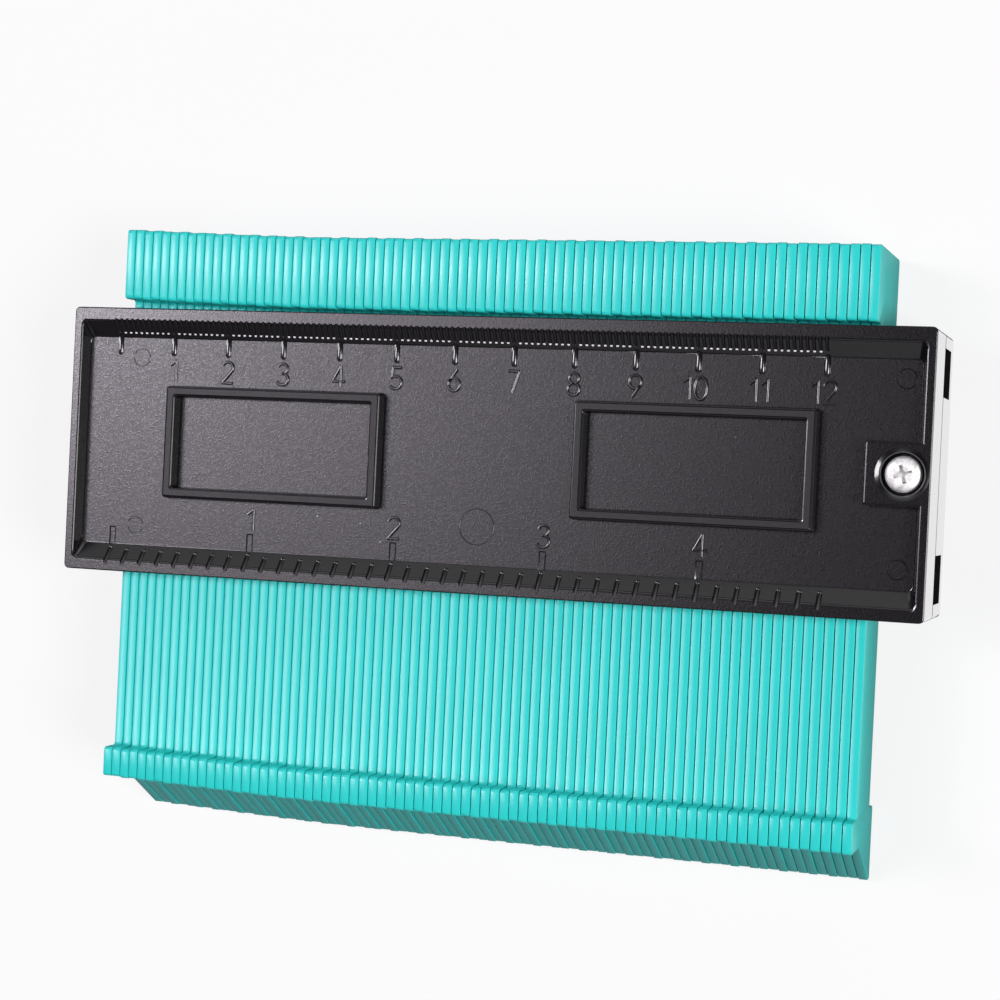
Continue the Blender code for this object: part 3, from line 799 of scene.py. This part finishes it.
def pin_marks():
    """Thin rings left in the floor by the mould's ejector pins."""
    bm = bmesh.new()
    for x, height, radius in PIN_MARKS:
        one = bmesh.new()
        made = bmesh.ops.create_circle(one, segments=6, radius=PIN_RING)["verts"]
        bmesh.ops.rotate(one, cent=(0, 0, 0), matrix=Matrix.Rotation(math.pi / 2, 3, "X"), verts=made)
        bmesh.ops.translate(one, vec=(radius * MM, 0, 0), verts=made)
        bmesh.ops.spin(one, geom=one.verts[:] + one.edges[:], cent=(0, 0, 0), axis=(0, 0, 1),
                       angle=math.tau, steps=48, use_merge=True)
        bmesh.ops.remove_doubles(one, verts=one.verts, dist=1e-7)
        bmesh.ops.translate(one, vec=(x * MM, BODY_BOTTOM + height * MM, FLOOR_Z + OFF_GRID),
                            verts=one.verts)
        add_to(bm, one)
    return shape(bm, "pin_marks")


def is_groove_end(face):
    """Whether a face lies in the lower end of a millimetre groove, the spot that gets the painted
    highlight.
    """
    steps = (face.center.x - SCALE_ZERO_X) / MM
    beside = abs(steps - round(steps)) * MM
    above = face.center.y - FLOOR_TOP
    between = round(steps) % 10 != 0 and 0 < steps < 10 * CENTIMETRES
    return (between and beside < HIGHLIGHT_WIDTH / 2 and HIGHLIGHT_LOW < above < HIGHLIGHT_LOW + HIGHLIGHT_WIDTH
            and face.area < HIGHLIGHT_WIDTH * HIGHLIGHT_WIDTH and face.center.z > FLOOR_Z + PIN_RING)


def finish_of(face):
    """The finish of a cover's face, or the painted highlight at a groove's end, by its height, its size
    and where it lies.
    """
    level = face.normal.z > 0.999
    height = face.center.z
    if level and abs(height - FLOOR_Z) < 2 * INCH_MARK_DEPTH:
        return GRAINED
    if level and abs(height - BODY_DEPTH) < PIN_RING:
        return RIM
    if level and abs(height - FLOOR_Z - FRAME_RISE) < PIN_RING:
        return MATT
    if abs(face.center.x) > BODY_LENGTH / 2 - PIN_RING:
        return WALL
    # painted highlight on the lower end of each millimetre groove
    if is_groove_end(face):
        return PAINTED_HIGHLIGHT
    return EDGE if face.area < FLAT_AREA and face.center.y < FLOOR_TOP else SMOOTH


def make_covers():
    blank = cut(cover_blank(), [tray(), channel(), *screw_holes(), end_windows()])
    cut(blank, [millimetre_grooves(), eighth_grooves(), centimetre_marks(), inch_marks(), pin_marks()])
    mesh = blank.data
    bpy.data.objects.remove(blank, do_unlink=True)
    finishes = [finish_of(face) for face in mesh.polygons]
    rear = turned_over(mesh)
    surfaces = [BLACK_SMOOTH, BLACK_GRAIN, BLACK_MATT, BLACK_WALL, GROOVE_END_HIGHLIGHT, BLACK_RIM,
                BLACK_EDGE]
    for half, made in (("front", mesh), ("rear", rear)):
        item = piece_of(made, f"{half}_cover_moulding", "body", surfaces,
                        [f"{half}_cover"], 60, FLAT_AREA)
        item.data.polygons.foreach_set("material_index", finishes)
    numbers = numerals()
    rear = turned_over(numbers)
    for half, made in (("front", numbers), ("rear", rear)):
        piece_of(made, f"{half}_raised_numbers", "body", [BLACK_EDGE], (), 50)


def turned_over(mesh):
    """A copy of a piece of the front half, turned to its place in the rear half."""
    rear = mesh.copy()
    rear.transform(Matrix.Translation((0, 0, MID_PLANE)) @ Matrix.Rotation(math.pi, 4, "Y")
                   @ Matrix.Translation((0, 0, -MID_PLANE)))
    return rear


# Screws

def make_screws():
    bm = bmesh.new()
    profile = [(0, HEAD_THICKNESS)]
    for degrees in range(80, -1, -10):
        turn = math.radians(degrees)
        profile.append((HEAD_RADIUS * math.cos(turn) ** HEAD_SQUARENESS,
                        HEAD_EDGE + (HEAD_THICKNESS - HEAD_EDGE) * math.sin(turn) ** HEAD_SQUARENESS))
    profile += [(HEAD_RADIUS, 0), (SHANK_RADIUS, 0), (SHANK_RADIUS, SHANK_POINT - SHANK_LENGTH),
                (SHANK_RADIUS / 2, -SHANK_LENGTH), (0, -SHANK_LENGTH)]
    add_turned(bm, profile, 0, 0, 64)
    low = HEAD_THICKNESS - CROSS_DEPTH
    slots = []
    for turn in (0, math.pi / 2):
        slot = bmesh.new()
        add_tapered_box(slot, (-CROSS_SPAN / 2, -CROSS_WIDTH / 2, low),
                        (CROSS_SPAN / 2, CROSS_WIDTH / 2, HEAD_THICKNESS + CROSS_DEPTH),
                        (CROSS_DRAFT, CROSS_DRAFT, CROSS_WIDTH / 6, CROSS_WIDTH / 6))
        bmesh.ops.rotate(slot, cent=(0, 0, 0), matrix=Matrix.Rotation(turn, 3, "Z"), verts=slot.verts)
        slots.append(shape(slot, "cross_slot"))
    head = cut(shape(bm, "screw"), slots)
    mesh = head.data
    bpy.data.objects.remove(head, do_unlink=True)
    mesh.transform(Matrix.Translation((SCREW_X, BODY_BOTTOM + BODY_HEIGHT / 2,
                                       BODY_DEPTH - HEAD_SINK - HEAD_THICKNESS))
                   @ Matrix.Rotation(SCREW_TURN, 4, "Z"))
    rear = turned_over(mesh)
    for half, made in (("front", mesh), ("rear", rear)):
        piece_of(made, f"{half}_pan_head_screw", "body", [ZINC], [f"{half}_screw"])


# Leaves

def leaf_lift(index):
    fade = max(0.0, 1 - index / LIFT_LEAVES)
    return LIFT * fade ** 1.3 + LIFT_RIPPLE * math.sin(2.4 * index)


def leaf_shape():
    """One leaf, centred on x = 0, with y from the bottom edge of the body and z from mid depth."""
    face = HEAD_DEPTH / 2
    web = WEB_DEPTH / 2
    corners = [(HEAD_TOP, face, LEAF_ROUNDING), (HEAD_UNDERSIDE, face, LEAF_ROUNDING),
               (HEAD_UNDERSIDE, web, WEB_FILLET), (FOOT_TOP, web, WEB_FILLET),
               (FOOT_TOP, face, LEAF_ROUNDING), (FOOT_LOW, face, LEAF_ROUNDING),
               (FOOT_LOW, face - TOE_LENGTH, 0), (TIP_END, TIP_FLAT - face, 0),
               (TIP_END, -face, LEAF_EDGE), (FOOT_TOP, -face, LEAF_ROUNDING),
               (FOOT_TOP, -web, WEB_FILLET), (HEAD_UNDERSIDE, -web, WEB_FILLET),
               (HEAD_UNDERSIDE, -face, LEAF_ROUNDING), (HEAD_TOP, -face, LEAF_ROUNDING)]
    bm = bmesh.new()
    side = bm.faces.new([bm.verts.new((-LEAF_THICKNESS / 2, y, z)) for y, z, _ in corners])
    far = bmesh.ops.extrude_face_region(bm, geom=[side])["geom"]
    bmesh.ops.translate(bm, vec=(LEAF_THICKNESS, 0, 0),
                        verts=[item for item in far if isinstance(item, bmesh.types.BMVert)])
    radii = {(round(y, 7), round(z, 7)): radius for y, z, radius in corners}
    for radius in (LEAF_ROUNDING, WEB_FILLET, LEAF_EDGE):
        chosen = []
        for edge in bm.edges:
            first, second = edge.verts
            across = abs(first.co.x - second.co.x) > LEAF_THICKNESS / 2
            if across and radii.get((round(first.co.y, 7), round(first.co.z, 7))) == radius:
                chosen.append(edge)
        bevel(bm, chosen, radius, 3)
    bmesh.ops.recalc_face_normals(bm, faces=bm.faces)
    rims = [edge for edge in bm.edges
            if abs(edge.verts[0].co.x - edge.verts[1].co.x) < LEAF_EDGE]
    bevel(bm, rims, LEAF_EDGE, 2)
    return bm


def make_leaves():
    pattern = leaf_shape()
    mesh = bpy.data.meshes.new("leaf_pattern")
    pattern.to_mesh(mesh)
    pattern.free()
    for index in range(LEAF_COUNT):
        first = index - index % 2
        node = f"leaves_{first + 1:02d}_{first + 2:02d}"
        if first + 1 == LEAF_COUNT:
            node = f"leaf_{LEAF_COUNT}"
        x = (index - (LEAF_COUNT - 1) / 2) * LEAF_PITCH
        one = mesh.copy()
        one.transform(Matrix.Translation((x, BODY_BOTTOM + leaf_lift(index), MID_PLANE)))
        piece_of(one, f"teal_leaf_{index + 1:02d}", node, [TEAL], [node], 40)
    bpy.data.meshes.remove(mesh)


# Studio

def make_floor():
    bm = bmesh.new()
    bmesh.ops.create_grid(bm, x_segments=1, y_segments=1, size=3.0)
    mesh = bpy.data.meshes.new("floor")
    bm.to_mesh(mesh)
    bm.free()
    floor = bpy.data.objects.new("floor", mesh)
    bpy.context.scene.collection.objects.link(floor)
    made, tree, shader = new_surface("pale_floor")
    shader.inputs["Roughness"].default_value = 0.9
    white = tree.nodes.new("ShaderNodeEmission")
    white.inputs["Strength"].default_value = 1.0
    path = tree.nodes.new("ShaderNodeLightPath")
    tone = add_mix(tree, path.outputs["Is Camera Ray"], (0.25, 0.25, 0.25, 1), (0.8, 0.8, 0.8, 1))
    tree.links.new(tone, shader.inputs["Base Color"])
    split = tree.nodes.new("ShaderNodeSeparateXYZ")
    tree.links.new(tree.nodes.new("ShaderNodeTexCoord").outputs["Object"], split.inputs["Vector"])
    beside = add_math(tree, "GREATER_THAN", split.outputs["X"], BODY_LENGTH / 2)
    share = add_math(tree, "ADD", add_math(tree, "MULTIPLY", path.outputs["Is Camera Ray"], 0.8),
                     add_math(tree, "MULTIPLY", path.outputs["Is Glossy Ray"], beside), clamp=True)
    mix = tree.nodes.new("ShaderNodeMixShader")
    tree.links.new(share, mix.inputs["Fac"])
    tree.links.new(shader.outputs["BSDF"], mix.inputs[1])
    tree.links.new(white.outputs["Emission"], mix.inputs[2])
    tree.links.new(mix.outputs["Shader"], tree.nodes["Material Output"].inputs["Surface"])
    mesh.materials.append(made)


def add_light(name, place, target, size, power, colour=(1, 1, 1)):
    data = bpy.data.lights.new(name, "AREA")
    data.color = colour
    data.shape = "RECTANGLE"
    data.size, data.size_y = size
    data.energy = power
    light = bpy.data.objects.new(name, data)
    light.location = place
    light.rotation_euler = (Vector(target) - Vector(place)).to_track_quat("-Z", "Y").to_euler()
    bpy.context.scene.collection.objects.link(light)


def make_world():
    """White to the camera. Otherwise bright low down and behind the heads, darker above and aside."""
    world = bpy.data.worlds.new("studio")
    bpy.context.scene.world = world
    world.use_nodes = True
    tree = world.node_tree
    back = tree.nodes["Background"]
    direction = tree.nodes.new("ShaderNodeTexCoord").outputs["Generated"]
    split = tree.nodes.new("ShaderNodeSeparateXYZ")
    tree.links.new(direction, split.inputs["Vector"])
    ramp = tree.nodes.new("ShaderNodeValToRGB")
    ramp.color_ramp.elements[0].position = 0.3
    ramp.color_ramp.elements[0].color = (1, 1, 1, 1)
    ramp.color_ramp.elements[1].position = 0.8
    ramp.color_ramp.elements[1].color = (0.05, 0.05, 0.055, 1)
    tree.links.new(split.outputs["Z"], ramp.inputs["Fac"])
    path = tree.nodes.new("ShaderNodeLightPath")
    white = add_mix(tree, path.outputs["Is Camera Ray"], ramp.outputs["Color"], (1, 1, 1, 1))
    tree.links.new(white, back.inputs["Color"])
    lean = add_math(tree, "ADD", add_math(tree, "MULTIPLY", split.outputs["Y"], 0.45), 1.25)
    aside = add_math(tree, "ABSOLUTE", add_math(tree, "ADD", split.outputs["X"], 0.1), 0)
    lean = add_math(tree, "SUBTRACT", lean, add_math(tree, "MULTIPLY", aside, 2.2), clamp=True)
    strength = add_math(tree, "MAXIMUM", lean, path.outputs["Is Camera Ray"])
    tree.links.new(strength, back.inputs["Strength"])


def make_camera():
    data = bpy.data.cameras.new("camera")
    data.lens = CAMERA_LENS
    data.sensor_width = 36.0
    data.clip_start = 0.01
    data.clip_end = 20.0
    camera = bpy.data.objects.new("camera", data)
    back = CAMERA_RIGHT.cross(CAMERA_UP)
    turn = Matrix((CAMERA_RIGHT, CAMERA_UP, back)).transposed()
    camera.matrix_world = Matrix.Translation(CAMERA_PLACE) @ turn.to_4x4()
    bpy.context.scene.collection.objects.link(camera)
    bpy.context.scene.camera = camera


make_camera()
make_covers()
make_screws()
make_leaves()
for node in ("front_friction_strip", "rear_friction_strip"):
    for material_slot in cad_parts[node].material_slots:
        material_slot.material = RUBBER
make_floor()
make_world()
add_light("left_softbox", (-0.44, 0.1, 0.95), (-0.02, 0, 0.02), (0.42, 0.42), 2.4, (0.97, 0.9, 1.0))
add_light("left_key", (-0.68, 0.2, 0.9), (-0.02, 0, 0.02), (0.26, 0.3), 5.2, (0.97, 0.9, 1.0))
add_light("right_softbox", (0.95, -0.15, 0.85), (0, 0, 0.02), (0.6, 0.6), 14.0)
bpy.context.scene.view_settings.view_transform = "Standard"
